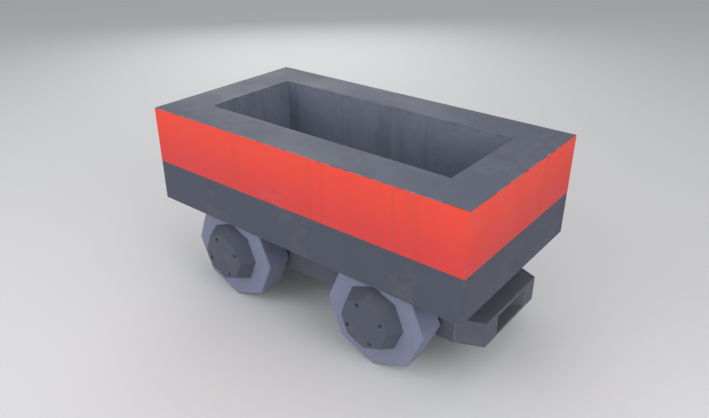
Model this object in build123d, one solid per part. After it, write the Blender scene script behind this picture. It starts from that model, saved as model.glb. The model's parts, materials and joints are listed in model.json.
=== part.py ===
"""Four-wheeled mine cart: a double-walled tub on a ladder underframe with loose wheels.

Frame: millimetres, +X to the front of the cart, +Y to its left, +Z up.
The origin is on the track, below the middle of the cart.
"""
from build123d import *
import os
from math import cos, radians, tan

# ---------------------------------------------------------------- tub
TUB_LENGTH = 1650.0
TUB_WIDTH = 872.0
RIM_WIDTH = 185.0  # flat rim, from the outer wall to the hopper opening
BAND_HEIGHT = 264.0  # upper outer panels
SKIRT_HEIGHT = 194.0  # lower sills
HOPPER_DEPTH = 344.0  # rim top to hopper floor
PANEL_PLATE = 8.0
RIM_PLATE = 10.0
LINER_PLATE = 8.0
FLOOR_PLATE = 10.0
SKIRT_PLATE = 8.0
SKIRT_FOOT = 24.0  # inward lip along the bottom of a sill
SKIRT_LEDGE = 60.0  # inward flange along the top of a sill
POST_SIDE = 60.0
POST_WALL = 5.0
RIB_PLATE = 8.0
SIDE_RIB_SPACING = 430.0

# ---------------------------------------------------------------- wheels
WHEEL_SIDES = 8
WHEEL_RADIUS = 240.0  # centre to corner
WHEEL_WIDTH = 130.0
WHEEL_INSET = 38.0  # wheel face behind the tub wall
WHEEL_EDGE = 5.0  # bevel round both faces
WHEEL_FRAME_GAP = 8.0  # wheel back to frame side
WHEEL_BOSS_RADIUS = 100.0
WHEEL_RIM_DEPTH = 46.0  # rim thickness at the flats, behind the web
WHEEL_CORE_DEPTH = 92.0  # hollow in the wheel's back
AXLE_SPACING = 825.0
AXLE_RADIUS = 30.0
JOURNAL_RADIUS = 25.0
STUB_RADIUS = 20.0  # threaded end
GREASE_BORE = 40.0  # radius of the wheel's bore between its bearings

# ---------------------------------------------------------------- bearings and axle ends
BEARING_RADIUS = 47.5
BEARING_WIDTH = 24.0
CONE_WALL = 6.0
ROLLER_RADIUS = 5.0
ROLLERS = 12
ROLLER_GAP = 0.06  # radial running clearance on each side of a roller
ROLLER_END_GAP = 2.0  # roller end to the ring's face
SEAL_RADIUS = 46.0
SEAL_WIDTH = 9.0
SEAL_INSET = 3.0  # seal behind the wheel's back face
SEAL_TO_BEARING = 2.0
WASHER_RADIUS = 38.0
WASHER_PLATE = 4.0
NUT_ACROSS_FLATS = 60.0
NUT_HEIGHT = 24.0
NUT_SLOT_WIDTH = 7.0
NUT_SLOT_DEPTH = 9.0
SPLIT_PIN_RADIUS = 2.8
SPLIT_PIN_LENGTH = 76.0
STUB_BEYOND_NUT = 4.0
SEAT_GAP = 0.1  # between faces that touch in the assembled cart
THREAD_GAP = 0.05

# ---------------------------------------------------------------- hub caps
CAP_BASE_RADIUS = 150.0  # centre to corner, at the wheel
CAP_FACE_RADIUS = 115.0  # centre to corner, at the front
CAP_DEPTH = 66.5
CAP_EDGE = 2.5
CAP_CAVITY_RADIUS = 65.0
CAP_WALL = 24.0
CAP_SCREW_CIRCLE = 88.0
CAP_SCREW_RADIUS = 8.0
CAP_SCREW_HEAD_RADIUS = 12.0
CAP_SCREW_HEAD = 16.0
CAP_SCREW_RECESS = 1.5
CAP_SCREW_GRIP = 25.0  # thread in the wheel
CAP_SCREWS = 4
SCREW_HEX = 14.0
SCREW_HEX_DEPTH = 8.0
HOLE_GAP = 0.5
TAPPED_DEPTH_GAP = 2.0  # tapped hole's bottom beyond the screw's tip

# ---------------------------------------------------------------- underframe
FRAME_BELOW_AXLE = 66.5
FRAME_HEIGHT = 116.5
SILL_FLANGE = 62.0
SILL_PLATE = 8.0
HEAD_DEPTH = 114.5  # bevelled part of a drawhead, along X
HEAD_BEVEL_ANGLE = 22.5
HEAD_SETBACK = 1.5  # buffing face behind the tub's end
HEAD_EDGE = 3.0
HEAD_LIP = 15.0  # metal above and below the coupling pocket
TONGUE_HALF = 80.0
TONGUE_LENGTH = 160.0
SHELF_LENGTH = 70.0
SHELF_PLATE = 12.0
SHELF_GAP = 2.0
MOUTH_HALF = 118.0
THROAT_HALF = 50.0
MOUTH_DEPTH = 90.0
POCKET_END_WALL = 18.0
COUPLING_PIN_RADIUS = 18.0
COUPLING_PIN_GAP = 0.08
COUPLING_PIN_INSET = 234.0  # pin axis behind the buffing face
PIN_HEAD_RADIUS = 28.0
PIN_HEAD = 12.0
PIN_TIP = 8.0
PIN_LOOP_RADIUS = 18.0
PIN_LOOP_ROD = 6.0
HEADSTOCK_PLATE = 12.0
DRAWHEAD_BOLT_RADIUS = 10.0
DRAWHEAD_BOLT_GRIP = 34.0
DRAWHEAD_BOLT_HEAD = 12.0
DRAWHEAD_BOLT_FLATS = 30.0
DRAWHEAD_BOLT_SPACING = 70.0
CROSS_SIDE = 60.0
CROSS_WALL = 6.0
CROSS_SPACING = 230.0
SEAT_LENGTH = 110.0
SEAT_WIDTH = 46.0
AXLE_FIT = 0.05
LOCK_BOLT_RADIUS = 8.0
LOCK_BOLT_BITE = 8.0
LOCK_BOLT_FLATS = 24.0
LOCK_BOLT_HEAD = 10.0
LOCK_BOLT_RELIEF = 1.0

# ---------------------------------------------------------------- body mounting
SKIRT_ABOVE_FRAME = 124.0
PAD_THICKNESS = 20.0
PAD_LENGTH = 56.0
PAD_WIDTH = 50.0
BOLSTER_WIDTH = 60.0
BOLSTER_FLANGE = 10.0
BOLSTER_WEB = 12.0
ARM_RISE = 26.0  # arm end above the bottom of the sill
INNER_BOLSTER_X = 110.0
END_BOLSTER_OFFSET = 250.0  # from the axle
MOUNT_BOLT_RADIUS = 6.0
MOUNT_BOLT_FLATS = 18.0
MOUNT_BOLT_HEAD = 8.0
MOUNT_NUT = 10.0
MOUNT_BOLT_SPACING = 36.0
MOUNT_BOLT_END = 5.0

# ---------------------------------------------------------------- places worked out from the above
HALF_LENGTH = TUB_LENGTH / 2
HALF_WIDTH = TUB_WIDTH / 2
AXLE_X = AXLE_SPACING / 2
AXLE_Z = WHEEL_RADIUS
FRAME_BOTTOM = AXLE_Z - FRAME_BELOW_AXLE
FRAME_TOP = FRAME_BOTTOM + FRAME_HEIGHT
SKIRT_BOTTOM = FRAME_TOP + SKIRT_ABOVE_FRAME
BAND_BOTTOM = SKIRT_BOTTOM + SKIRT_HEIGHT
RIM_TOP = BAND_BOTTOM + BAND_HEIGHT
RIM_UNDER = RIM_TOP - RIM_PLATE
FLOOR_TOP = RIM_TOP - HOPPER_DEPTH
FLOOR_UNDER = FLOOR_TOP - FLOOR_PLATE
OPEN_X = HALF_LENGTH - RIM_WIDTH
OPEN_Y = HALF_WIDTH - RIM_WIDTH
WHEEL_FACE_Y = HALF_WIDTH - WHEEL_INSET
WHEEL_BACK_Y = WHEEL_FACE_Y - WHEEL_WIDTH
FRAME_Y = WHEEL_BACK_Y - WHEEL_FRAME_GAP
WEB_Y = FRAME_Y - SILL_PLATE
FACE_X = HALF_LENGTH - HEAD_SETBACK
SILL_END_X = FACE_X - HEAD_DEPTH
PIN_X = FACE_X - COUPLING_PIN_INSET
POCKET_LOW = FRAME_BOTTOM + HEAD_LIP
POCKET_HIGH = FRAME_TOP - HEAD_LIP
BOLSTER_BOTTOM = FRAME_TOP + PAD_THICKNESS
PAD_Y = FRAME_Y - SILL_FLANGE / 2

# distances outwards from a wheel's back face
INNER_BEARING_U = SEAL_INSET + SEAL_WIDTH + SEAL_TO_BEARING
OUTER_BEARING_U = WHEEL_WIDTH - INNER_BEARING_U - BEARING_WIDTH
WASHER_U = OUTER_BEARING_U + BEARING_WIDTH + SEAT_GAP
NUT_U = WASHER_U + WASHER_PLATE + SEAT_GAP
AXLE_END_U = NUT_U + NUT_HEIGHT + STUB_BEYOND_NUT
SPLIT_PIN_U = NUT_U + NUT_HEIGHT - NUT_SLOT_DEPTH / 2
CONE_RADIUS = JOURNAL_RADIUS + CONE_WALL
ROLLER_CIRCLE = CONE_RADIUS + ROLLER_GAP + ROLLER_RADIUS
CUP_BORE = ROLLER_CIRCLE + ROLLER_RADIUS + ROLLER_GAP
CAP_CAVITY_DEPTH = CAP_DEPTH - CAP_WALL

ENDS = {"front": 1, "rear": -1}
SIDES = {"left": 1, "right": -1}
BEARINGS_U = (INNER_BEARING_U, OUTER_BEARING_U)
BOLSTERS_X = {
    "front_end": AXLE_X + END_BOLSTER_OFFSET,
    "front_inner": INNER_BOLSTER_X,
    "rear_inner": -INNER_BOLSTER_X,
    "rear_end": -AXLE_X - END_BOLSTER_OFFSET,
}


# ---------------------------------------------------------------- shape helpers
def block(x, y, z):
    """Box between two values on each axis."""
    size = [high - low for low, high in (x, y, z)]
    centre = [(low + high) / 2 for low, high in (x, y, z)]
    return Pos(*centre) * Box(*size)


def disc(radius, low, high, sides=0):
    """Cylinder, or prism with a corner on local X, along local Z."""
    if sides:
        section = RegularPolygon(radius, sides)
    else:
        section = Circle(radius)
    return Pos(0, 0, low) * extrude(section, high - low)


def ring(outer, inner, low, high):
    return disc(outer, low, high) - disc(inner, low - 1, high + 1)


def hexagon(across_flats, low, high):
    return disc(across_flats / 2 / cos(radians(30)), low, high, 6)


def prism(points, plane, low, high):
    """Straight prism on a plane, between two distances along the plane's normal."""
    outline = make_face(Polyline(*points, close=True))
    return extrude(plane.offset(low) * outline, high - low)


def mitred_side(depth, low, high, along_x):
    """One side of the tub's rectangle, cut at 45 degrees at both ends.

    It lies on the left (+Y) when along_x is true, and otherwise at the front (+X).
    """
    reach, offset = (HALF_LENGTH, HALF_WIDTH) if along_x else (HALF_WIDTH, HALF_LENGTH)
    points = [
        (-reach, offset),
        (reach, offset),
        (reach - depth, offset - depth),
        (-reach + depth, offset - depth),
    ]
    if not along_x:
        points = [(y, x) for x, y in points]
    return prism(points, Plane.XY, low, high)


def both_ways(solid, name, pair, plane):
    """The same piece at the positive side and, mirrored, at the negative side."""
    first, second = pair
    return {name.format(first): solid, name.format(second): mirror(solid, plane)}


def at_wheel(end, side):
    """Places a piece whose local Z runs outwards from the wheel's back face."""
    return Pos(end * AXLE_X, side * WHEEL_BACK_Y, AXLE_Z) * Rot(-90 * side, 0, 0)


def every_wheel(piece):
    """The piece at all four wheels, as separate solids."""
    places = [at_wheel(end, side) for end in ENDS.values() for side in SIDES.values()]
    return Compound([place * piece for place in places])


# ---------------------------------------------------------------- tub
def top_rim():
    """Flat ring with a 45 degree outer edge that meets the panels' top edges."""
    top = Pos(0, 0, RIM_TOP) * Rectangle(TUB_LENGTH, TUB_WIDTH)
    under = Rectangle(TUB_LENGTH - 2 * RIM_PLATE, TUB_WIDTH - 2 * RIM_PLATE)
    plate = loft([Pos(0, 0, RIM_UNDER) * under, top])
    return plate - block((-OPEN_X, OPEN_X), (-OPEN_Y, OPEN_Y), (RIM_UNDER - 1, RIM_TOP + 1))


def upper_panel(along_x):
    """Outer panel whose inner top edge is bevelled to lie against the rim."""
    panel = mitred_side(PANEL_PLATE, BAND_BOTTOM, RIM_TOP, along_x)
    slope = [
        (-PANEL_PLATE, RIM_TOP - PANEL_PLATE),
        (0, RIM_TOP),
        (0, RIM_TOP + 1),
        (-PANEL_PLATE - 1, RIM_TOP + 1),
        (-PANEL_PLATE - 1, RIM_TOP - PANEL_PLATE),
    ]
    if along_x:
        points = [(HALF_WIDTH + offset, z) for offset, z in slope]
        wedge = prism(points, Plane.YZ, -HALF_LENGTH - 1, HALF_LENGTH + 1)
    else:
        points = [(HALF_LENGTH + offset, z) for offset, z in slope]
        wedge = prism(points, Plane.XZ, -HALF_WIDTH - 1, HALF_WIDTH + 1)
    return panel - wedge


def lower_sill(along_x):
    """Channel section below the panels: web outside, foot and ledge turned inwards."""
    web = mitred_side(SKIRT_PLATE, SKIRT_BOTTOM, BAND_BOTTOM, along_x)
    foot = mitred_side(SKIRT_FOOT, SKIRT_BOTTOM, SKIRT_BOTTOM + SKIRT_PLATE, along_x)
    ledge = mitred_side(SKIRT_LEDGE, BAND_BOTTOM - SKIRT_PLATE, BAND_BOTTOM, along_x)
    return web + foot + ledge


def side_liner():
    outer_x = OPEN_X + LINER_PLATE
    return block((-outer_x, outer_x), (OPEN_Y, OPEN_Y + LINER_PLATE), (FLOOR_TOP, RIM_UNDER))


def end_liner():
    return block((OPEN_X, OPEN_X + LINER_PLATE), (-OPEN_Y, OPEN_Y), (FLOOR_TOP, RIM_UNDER))


def hopper_floor():
    outer_x = OPEN_X + LINER_PLATE
    outer_y = OPEN_Y + LINER_PLATE
    return block((-outer_x, outer_x), (-outer_y, outer_y), (FLOOR_UNDER, FLOOR_TOP))


def corner_posts():
    """Square tubes inside the four corners of the tub."""
    outer_x = HALF_LENGTH - PANEL_PLATE
    outer_y = HALF_WIDTH - PANEL_PLATE
    low_x = outer_x - POST_SIDE
    low_y = outer_y - POST_SIDE
    post = block((low_x, outer_x), (low_y, outer_y), (BAND_BOTTOM, RIM_UNDER))
    post -= block(
        (low_x + POST_WALL, outer_x - POST_WALL),
        (low_y + POST_WALL, outer_y - POST_WALL),
        (BAND_BOTTOM - 1, RIM_UNDER + 1),
    )
    front = [post, mirror(post, Plane.XZ)]
    rear = [mirror(one, Plane.YZ) for one in front]
    return Compound(front + rear)


def wall_ribs():
    """Upright plates that tie the outer panels to the hopper's liner."""
    half = RIB_PLATE / 2
    low_y = OPEN_Y + LINER_PLATE
    low_x = OPEN_X + LINER_PLATE
    height = (BAND_BOTTOM, RIM_UNDER)
    ribs = []
    for x in (-SIDE_RIB_SPACING, 0, SIDE_RIB_SPACING):
        rib = block((x - half, x + half), (low_y, HALF_WIDTH - PANEL_PLATE), height)
        ribs += [rib, mirror(rib, Plane.XZ)]
    rib = block((low_x, HALF_LENGTH - PANEL_PLATE), (-half, half), height)
    ribs += [rib, mirror(rib, Plane.YZ)]
    return Compound(ribs)


# ---------------------------------------------------------------- body mounting
def mount_bolt_places():
    """Axes of the bolts through the bolster feet, the pads and the frame sills."""
    half = MOUNT_BOLT_SPACING / 2
    return [
        (x + step, side * PAD_Y)
        for x in BOLSTERS_X.values()
        for step in (-half, half)
        for side in SIDES.values()
    ]


def mount_holes(low, high):
    hole = disc(MOUNT_BOLT_RADIUS + HOLE_GAP, low - 1, high + 1)
    return [Pos(x, y, 0) * hole for x, y in mount_bolt_places()]


def bolster(x):
    """Cross bearer with a foot over the frame and arms out to the side sills."""
    half = BOLSTER_WIDTH / 2
    reach = HALF_WIDTH - SKIRT_PLATE
    foot_top = BOLSTER_BOTTOM + BOLSTER_FLANGE
    cap_under = FLOOR_UNDER - BOLSTER_FLANGE
    arm_z = SKIRT_BOTTOM + ARM_RISE
    foot = block((x - half, x + half), (-FRAME_Y, FRAME_Y), (BOLSTER_BOTTOM, foot_top))
    cap = block((x - half, x + half), (-reach, reach), (cap_under, FLOOR_UNDER))
    outline = [
        (-FRAME_Y, foot_top),
        (FRAME_Y, foot_top),
        (reach, arm_z),
        (reach, cap_under),
        (-reach, cap_under),
        (-reach, arm_z),
    ]
    web = prism(outline, Plane.YZ, x - BOLSTER_WEB / 2, x + BOLSTER_WEB / 2)
    return foot + cap + web - mount_holes(BOLSTER_BOTTOM, foot_top)


def mount_pads():
    """Rubber blocks between the frame and the bolsters."""
    pads = []
    holes = mount_holes(FRAME_TOP, BOLSTER_BOTTOM)
    for x in BOLSTERS_X.values():
        for side in SIDES.values():
            y = side * PAD_Y
            pad = block(
                (x - PAD_LENGTH / 2, x + PAD_LENGTH / 2),
                (y - PAD_WIDTH / 2, y + PAD_WIDTH / 2),
                (FRAME_TOP, BOLSTER_BOTTOM),
            )
            pads.append(pad - holes)
    return Compound(pads)


def mount_bolts():
    """Each bolt with its nut below the frame sill's flange."""
    head_z = BOLSTER_BOTTOM + BOLSTER_FLANGE
    nut_z = FRAME_TOP - SILL_PLATE - MOUNT_NUT
    bolt = hexagon(MOUNT_BOLT_FLATS, head_z, head_z + MOUNT_BOLT_HEAD)
    bolt += disc(MOUNT_BOLT_RADIUS, nut_z - MOUNT_BOLT_END, head_z)
    nut = hexagon(MOUNT_BOLT_FLATS, nut_z, nut_z + MOUNT_NUT)
    nut -= disc(MOUNT_BOLT_RADIUS + THREAD_GAP, nut_z - 1, nut_z + MOUNT_NUT + 1)
    places = [Pos(x, y, 0) for x, y in mount_bolt_places()]
    return Compound([place * piece for place in places for piece in (bolt, nut)])


# ---------------------------------------------------------------- underframe
def frame_sill():
    """Channel with its web outside, bored for both axles."""
    inner = FRAME_Y - SILL_FLANGE
    length = (-SILL_END_X + SEAT_GAP, SILL_END_X - SEAT_GAP)
    sill = block(length, (inner, FRAME_Y), (FRAME_BOTTOM, FRAME_TOP))
    hollow = (FRAME_BOTTOM + SILL_PLATE, FRAME_TOP - SILL_PLATE)
    sill -= block(length, (inner - 1, WEB_Y), hollow)
    for end in ENDS.values():
        axle_hole = disc(AXLE_RADIUS + AXLE_FIT, -FRAME_Y - 1, 0)
        sill -= Pos(end * AXLE_X, 0, AXLE_Z) * Rot(90, 0, 0) * axle_hole
        lock_hole = disc(LOCK_BOLT_RADIUS + HOLE_GAP, FRAME_TOP - SILL_PLATE - 1, FRAME_TOP + 1)
        sill -= Pos(end * AXLE_X, WEB_Y - SEAT_WIDTH / 2, 0) * lock_hole
    return sill - mount_holes(FRAME_TOP - SILL_PLATE, FRAME_TOP)


def cross_member(x):
    """Square tube between the frame sills' webs."""
    half = CROSS_SIDE / 2
    inside = half - CROSS_WALL
    middle = (FRAME_BOTTOM + FRAME_TOP) / 2
    tube = block((x - half, x + half), (-WEB_Y, WEB_Y), (middle - half, middle + half))
    hollow_z = (middle - inside, middle + inside)
    return tube - block((x - inside, x + inside), (-WEB_Y - 1, WEB_Y + 1), hollow_z)


def drawhead_bolt_places():
    """Y and Z of the bolts through the right-hand headstock plate."""
    middle_y = (TONGUE_HALF + WEB_Y) / 2
    middle_z = (FRAME_BOTTOM + FRAME_TOP - SHELF_PLATE) / 2
    half = DRAWHEAD_BOLT_SPACING / 2
    return [(middle_y - half, middle_z), (middle_y + half, middle_z)]


def headstock_plates():
    """Upright plates across the ends of the frame, beside each drawhead's tongue."""
    low = FRAME_BOTTOM + SILL_PLATE
    high = FRAME_TOP - SHELF_PLATE - SHELF_GAP
    far_x = SILL_END_X - SEAT_GAP
    plate = block((far_x - HEADSTOCK_PLATE, far_x), (TONGUE_HALF + SEAT_GAP, WEB_Y), (low, high))
    hole = disc(DRAWHEAD_BOLT_RADIUS + HOLE_GAP, far_x - HEADSTOCK_PLATE - 1, far_x + 1)
    for y, z in drawhead_bolt_places():
        plate -= Pos(0, y, z) * Rot(0, 90, 0) * hole
    front = [plate, mirror(plate, Plane.XZ)]
    return Compound(front + [mirror(one, Plane.YZ) for one in front])


def drawhead():
    """Bevelled buffer head with a flared coupling pocket and a tongue between the sills."""
    bevel = HEAD_DEPTH * tan(radians(HEAD_BEVEL_ANGLE))
    outline = [
        (SILL_END_X, -FRAME_Y),
        (FACE_X, -FRAME_Y + bevel),
        (FACE_X, FRAME_Y - bevel),
        (SILL_END_X, FRAME_Y),
    ]
    head = prism(outline, Plane.XY, FRAME_BOTTOM, FRAME_TOP)
    head = chamfer(head.edges().filter_by(lambda edge: edge.center().X > SILL_END_X + 1), HEAD_EDGE)
    tongue_x = SILL_END_X - TONGUE_LENGTH
    tongue = block((tongue_x, SILL_END_X + 1), (-TONGUE_HALF, TONGUE_HALF), (FRAME_BOTTOM, FRAME_TOP))
    shelf_y = FRAME_Y - SILL_FLANGE - SHELF_GAP
    shelf = block(
        (SILL_END_X - SHELF_LENGTH, SILL_END_X + HEAD_EDGE),
        (-shelf_y, shelf_y),
        (FRAME_TOP - SHELF_PLATE, FRAME_TOP),
    )
    pocket = [
        (FACE_X + 1, -MOUTH_HALF),
        (FACE_X + 1, MOUTH_HALF),
        (FACE_X, MOUTH_HALF),
        (FACE_X - MOUTH_DEPTH, THROAT_HALF),
        (tongue_x + POCKET_END_WALL, THROAT_HALF),
        (tongue_x + POCKET_END_WALL, -THROAT_HALF),
        (FACE_X - MOUTH_DEPTH, -THROAT_HALF),
        (FACE_X, -MOUTH_HALF),
    ]
    casting = head + tongue + shelf
    casting -= prism(pocket, Plane.XY, POCKET_LOW, POCKET_HIGH)
    pin_hole = disc(COUPLING_PIN_RADIUS + COUPLING_PIN_GAP, FRAME_BOTTOM - 1, FRAME_TOP + 1)
    casting -= Pos(PIN_X, 0, 0) * pin_hole
    tapped = disc(DRAWHEAD_BOLT_RADIUS + THREAD_GAP, SILL_END_X - 1, SILL_END_X + DRAWHEAD_BOLT_GRIP)
    for y, z in drawhead_bolt_places():
        for side in SIDES.values():
            casting -= Pos(0, side * y, z) * Rot(0, 90, 0) * tapped
    return casting


def drawhead_bolts():
    """Hexagon bolts through the headstock plates into the drawheads."""
    under_head = SILL_END_X - SEAT_GAP - HEADSTOCK_PLATE
    bolt = hexagon(DRAWHEAD_BOLT_FLATS, under_head - DRAWHEAD_BOLT_HEAD, under_head)
    bolt += disc(DRAWHEAD_BOLT_RADIUS, under_head, SILL_END_X + DRAWHEAD_BOLT_GRIP - TAPPED_DEPTH_GAP)
    front = [
        Pos(0, side * y, z) * Rot(0, 90, 0) * bolt
        for y, z in drawhead_bolt_places()
        for side in SIDES.values()
    ]
    return Compound(front + [mirror(one, Plane.YZ) for one in front])


def coupling_pin():
    """Drop pin with a flat head and a lifting loop."""
    pin = disc(COUPLING_PIN_RADIUS, FRAME_BOTTOM, FRAME_TOP + 1)
    pin = chamfer(pin.faces().sort_by(Axis.Z)[0].edges(), PIN_TIP)
    pin += disc(PIN_HEAD_RADIUS, FRAME_TOP, FRAME_TOP + PIN_HEAD)
    loop_z = FRAME_TOP + PIN_HEAD + PIN_LOOP_RADIUS
    pin += Pos(0, 0, loop_z) * Rot(0, 90, 0) * Torus(PIN_LOOP_RADIUS, PIN_LOOP_ROD)
    return Pos(PIN_X, 0, 0) * pin


def axle():
    """Fixed axle: thick between the wheels, turned down for bearings and nuts."""
    shoulder = WHEEL_BACK_Y + INNER_BEARING_U
    stub_from = WHEEL_BACK_Y + OUTER_BEARING_U + BEARING_WIDTH
    tip = WHEEL_BACK_Y + AXLE_END_U
    rod = disc(AXLE_RADIUS, -shoulder, shoulder)
    rod += disc(JOURNAL_RADIUS, -stub_from, stub_from)
    rod += disc(STUB_RADIUS, -tip, tip)
    split_pin = Rot(0, 90, 0) * disc(SPLIT_PIN_RADIUS + HOLE_GAP, -AXLE_RADIUS, AXLE_RADIUS)
    dimple = disc(LOCK_BOLT_RADIUS + HOLE_GAP, AXLE_RADIUS - LOCK_BOLT_BITE, AXLE_RADIUS + 1)
    for side in SIDES.values():
        rod -= Pos(0, 0, side * (WHEEL_BACK_Y + SPLIT_PIN_U)) * split_pin
        rod -= Pos(0, 0, side * (WEB_Y - SEAT_WIDTH / 2)) * Rot(-90, 0, 0) * dimple
    return Pos(AXLE_X, 0, AXLE_Z) * Rot(90, 0, 0) * rod


def axle_seats():
    """Cast blocks inside the frame sills that carry the axles."""
    low = FRAME_BOTTOM + SILL_PLATE
    high = FRAME_TOP - SILL_PLATE
    half = SEAT_LENGTH / 2
    seat = block((AXLE_X - half, AXLE_X + half), (WEB_Y - SEAT_WIDTH, WEB_Y), (low, high))
    seat -= Pos(AXLE_X, 0, AXLE_Z) * Rot(90, 0, 0) * disc(AXLE_RADIUS + AXLE_FIT, -FRAME_Y, 0)
    seat -= Pos(AXLE_X, WEB_Y - SEAT_WIDTH / 2, 0) * disc(LOCK_BOLT_RADIUS + THREAD_GAP, AXLE_Z, high + 1)
    front = [seat, mirror(seat, Plane.XZ)]
    return Compound(front + [mirror(one, Plane.YZ) for one in front])


def lock_bolts():
    """Upright bolts whose ends sit in the axles, so that the axles can't turn."""
    tip = AXLE_Z + AXLE_RADIUS - LOCK_BOLT_BITE + LOCK_BOLT_RELIEF
    bolt = disc(LOCK_BOLT_RADIUS, tip, FRAME_TOP)
    bolt += hexagon(LOCK_BOLT_FLATS, FRAME_TOP, FRAME_TOP + LOCK_BOLT_HEAD)
    y = WEB_Y - SEAT_WIDTH / 2
    return Compound(
        [Pos(end * AXLE_X, side * y, 0) * bolt for end in ENDS.values() for side in SIDES.values()]
    )


# ---------------------------------------------------------------- wheel pieces, local Z outwards
def wheel():
    """Eight-sided wheel with a cored back, a bearing seat at each end and a seal seat."""
    tyre = disc(WHEEL_RADIUS, 0, WHEEL_WIDTH, WHEEL_SIDES)
    faces = tyre.faces().sort_by(Axis.Z)
    tyre = chamfer(faces[0].edges() + faces[-1].edges(), WHEEL_EDGE)
    core = disc(WHEEL_RADIUS - WHEEL_RIM_DEPTH, -1, WHEEL_CORE_DEPTH, WHEEL_SIDES)
    core -= disc(WHEEL_BOSS_RADIUS, -2, WHEEL_CORE_DEPTH + 1)
    tyre -= core
    tyre -= disc(GREASE_BORE, -1, WHEEL_WIDTH + 1)
    tyre -= disc(BEARING_RADIUS, -1, INNER_BEARING_U + BEARING_WIDTH)
    tyre -= disc(BEARING_RADIUS, OUTER_BEARING_U, WHEEL_WIDTH + 1)
    return tyre - screw_holes(CAP_SCREW_RADIUS + THREAD_GAP, WHEEL_WIDTH - CAP_SCREW_GRIP)


def screw_axes():
    return PolarLocations(CAP_SCREW_CIRCLE, CAP_SCREWS, start_angle=180 / WHEEL_SIDES)


def screw_holes(radius, low):
    hole = disc(radius, low, WHEEL_WIDTH + CAP_DEPTH + 1)
    return [place * hole for place in screw_axes()]


def bearing_cups():
    return Compound([ring(BEARING_RADIUS, CUP_BORE, u, u + BEARING_WIDTH) for u in BEARINGS_U])


def bearing_cones():
    """Inner rings with their rollers, which stay on the axle."""
    pieces = []
    for u in BEARINGS_U:
        pieces.append(ring(CONE_RADIUS, JOURNAL_RADIUS, u, u + BEARING_WIDTH))
        roller = disc(ROLLER_RADIUS, u + ROLLER_END_GAP, u + BEARING_WIDTH - ROLLER_END_GAP)
        pieces += [place * roller for place in PolarLocations(ROLLER_CIRCLE, ROLLERS)]
    return Compound(pieces)


def dust_seal():
    return ring(SEAL_RADIUS, AXLE_RADIUS, SEAL_INSET, SEAL_INSET + SEAL_WIDTH)


def axle_washer():
    return ring(WASHER_RADIUS, STUB_RADIUS + THREAD_GAP, WASHER_U, WASHER_U + WASHER_PLATE)


def castle_nut():
    """Hexagon nut with slots for the split pin."""
    top = NUT_U + NUT_HEIGHT
    nut = hexagon(NUT_ACROSS_FLATS, NUT_U, top)
    nut -= disc(STUB_RADIUS + THREAD_GAP, NUT_U - 1, top + 1)
    half = NUT_SLOT_WIDTH / 2
    slot = block(
        (-NUT_ACROSS_FLATS, NUT_ACROSS_FLATS),
        (-half, half),
        (top - NUT_SLOT_DEPTH, top + 1),
    )
    for turn in (0, 60, 120):
        nut -= Rot(0, 0, turn) * slot
    return nut


def split_pin():
    half = SPLIT_PIN_LENGTH / 2
    return Pos(0, 0, SPLIT_PIN_U) * Rot(0, 90, 0) * disc(SPLIT_PIN_RADIUS, -half, half)


def hub_cap():
    """Hollow eight-sided cap that narrows outwards."""
    base = WHEEL_WIDTH + SEAT_GAP
    face = WHEEL_WIDTH + CAP_DEPTH
    shell = loft(
        [
            Pos(0, 0, base) * RegularPolygon(CAP_BASE_RADIUS, WHEEL_SIDES),
            Pos(0, 0, face) * RegularPolygon(CAP_FACE_RADIUS, WHEEL_SIDES),
        ],
        ruled=True,
    )
    shell = chamfer(shell.faces().sort_by(Axis.Z)[-1].edges(), CAP_EDGE)
    shell -= disc(CAP_CAVITY_RADIUS, base - 1, WHEEL_WIDTH + CAP_CAVITY_DEPTH)
    shell -= screw_holes(CAP_SCREW_RADIUS + HOLE_GAP, base - 1)
    seat = face - CAP_SCREW_RECESS - CAP_SCREW_HEAD
    counterbore = disc(CAP_SCREW_HEAD_RADIUS + HOLE_GAP, seat, face + 1)
    return shell - [place * counterbore for place in screw_axes()]


def cap_screws():
    """Socket-head screws sunk in the cap's face."""
    top = WHEEL_WIDTH + CAP_DEPTH - CAP_SCREW_RECESS
    screw = disc(CAP_SCREW_HEAD_RADIUS, top - CAP_SCREW_HEAD, top)
    tip = WHEEL_WIDTH - CAP_SCREW_GRIP + TAPPED_DEPTH_GAP
    screw += disc(CAP_SCREW_RADIUS, tip, top - CAP_SCREW_HEAD)
    screw -= hexagon(SCREW_HEX, top - SCREW_HEX_DEPTH, top + 1)
    return Compound([place * screw for place in screw_axes()])


# ---------------------------------------------------------------- assembly
def tub_nodes():
    nodes = {"top_rim": top_rim(), "hopper_floor": hopper_floor()}
    nodes |= both_ways(upper_panel(True), "side_panel_{}", SIDES, Plane.XZ)
    nodes |= both_ways(upper_panel(False), "end_panel_{}", ENDS, Plane.YZ)
    nodes |= both_ways(lower_sill(True), "side_skirt_{}", SIDES, Plane.XZ)
    nodes |= both_ways(lower_sill(False), "end_skirt_{}", ENDS, Plane.YZ)
    nodes |= both_ways(side_liner(), "side_liner_{}", SIDES, Plane.XZ)
    nodes |= both_ways(end_liner(), "end_liner_{}", ENDS, Plane.YZ)
    nodes["corner_posts"] = corner_posts()
    nodes["wall_ribs"] = wall_ribs()
    return nodes


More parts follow.
